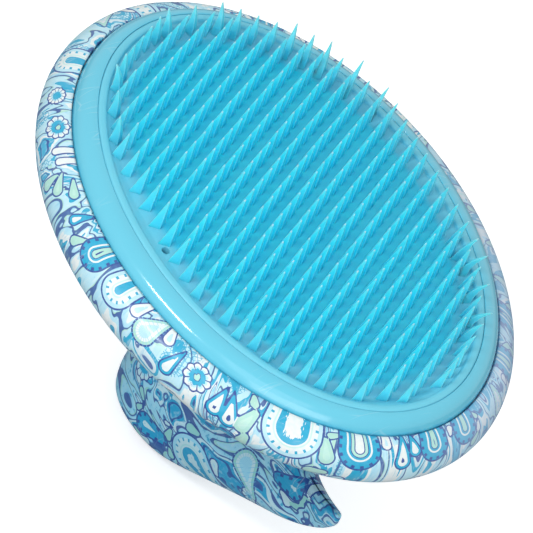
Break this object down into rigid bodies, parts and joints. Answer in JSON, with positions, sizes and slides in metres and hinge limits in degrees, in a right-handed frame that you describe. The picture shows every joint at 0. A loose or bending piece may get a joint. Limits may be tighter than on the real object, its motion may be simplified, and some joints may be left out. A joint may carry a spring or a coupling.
{
  "type": "rubber curry brush",
  "caption": "Oval palm-held grooming brush: printed hard head with rolled rim and hooked grip, glossy bezel, and a soft pad of fine pointed bristles.",
  "frame": {"origin": "middle of the brush's box at the level of the grip's heel", "axes": "+X along the head's long axis towards the grip's beak, +Z the way the bristles point"},
  "size_m": [0.115, 0.0908, 0.0704],
  "materials": {
    "printed_shell": "glossy film print of swirling leaf and petal shapes in pale blue, cyan, mint and violet-blue under clear lacquer",
    "bezel": "glossy light sky-blue moulding",
    "bristle_pad": "soft satin translucent cyan with paler tips",
    "inner_frame": "plain moulded",
    "screws": "zinc plated"
  },
  "bodies": {
    "root": {"head_shell": "printed_shell", "grip_left": "printed_shell", "grip_right": "printed_shell", "bezel_ring": "bezel", "bristle_pad": "bristle_pad", "pad_support": "inner_frame", "grip_screws": "screws", "grip_washers": "screws"}
  },
  "joints": []
}
